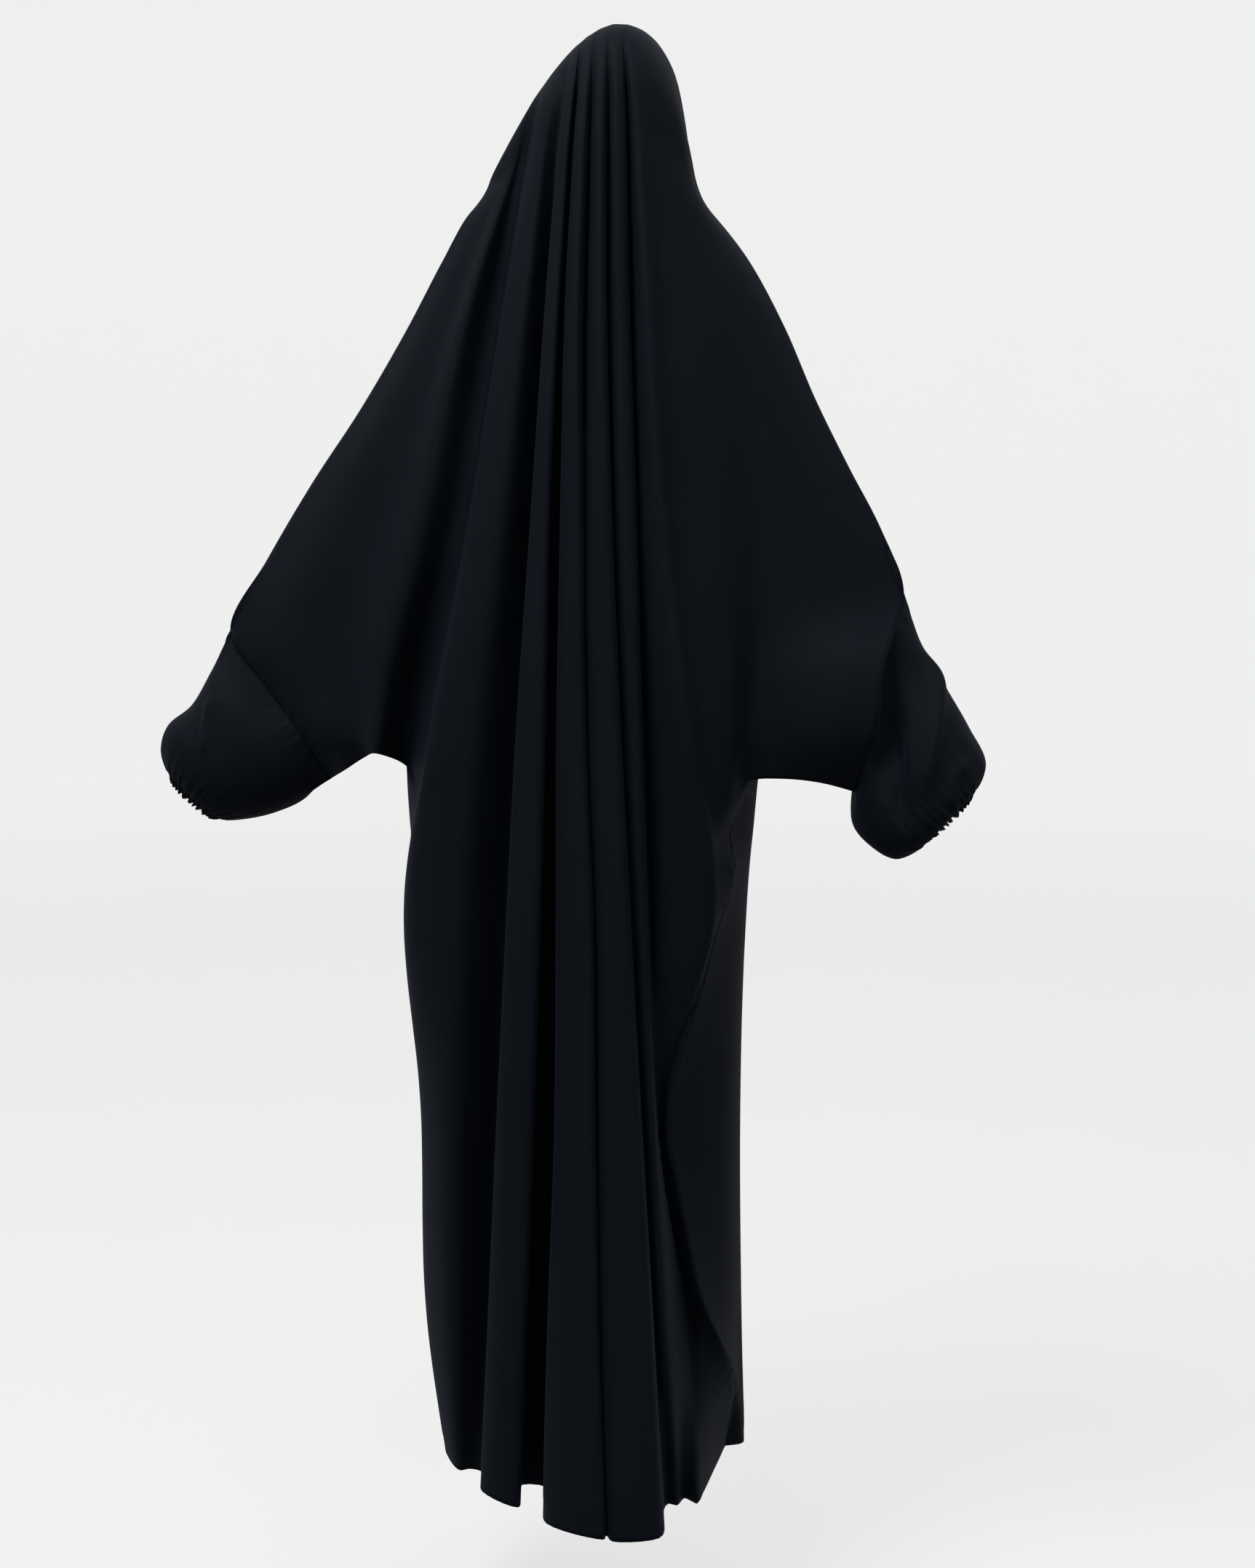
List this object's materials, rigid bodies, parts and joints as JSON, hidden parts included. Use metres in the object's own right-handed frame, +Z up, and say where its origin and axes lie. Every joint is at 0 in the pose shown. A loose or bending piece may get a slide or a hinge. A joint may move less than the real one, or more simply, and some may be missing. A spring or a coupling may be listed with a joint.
{
  "type": "jilbab",
  "caption": "Full-length over-the-head jilbab in dark crepe, with a hood, wide batwing panels, gathered sleeves and deep hanging folds.",
  "frame": {"origin": "inside the crown of the hood, where the top of the wearer's head carries the garment", "axes": "+Z up along the wearer, -Y to the wearer's front, +X to the wearer's left"},
  "size_m": [1.0088, 0.4287, 1.7005],
  "materials": {
    "back_cloth": "matte",
    "front_cloth": "matte",
    "left_sleeve_cloth": "matte",
    "right_sleeve_cloth": "matte"
  },
  "bodies": {
    "root": {"back_panel": "back_cloth", "front_panel": "front_cloth", "left_sleeve": "left_sleeve_cloth", "right_sleeve": "right_sleeve_cloth"}
  },
  "joints": []
}
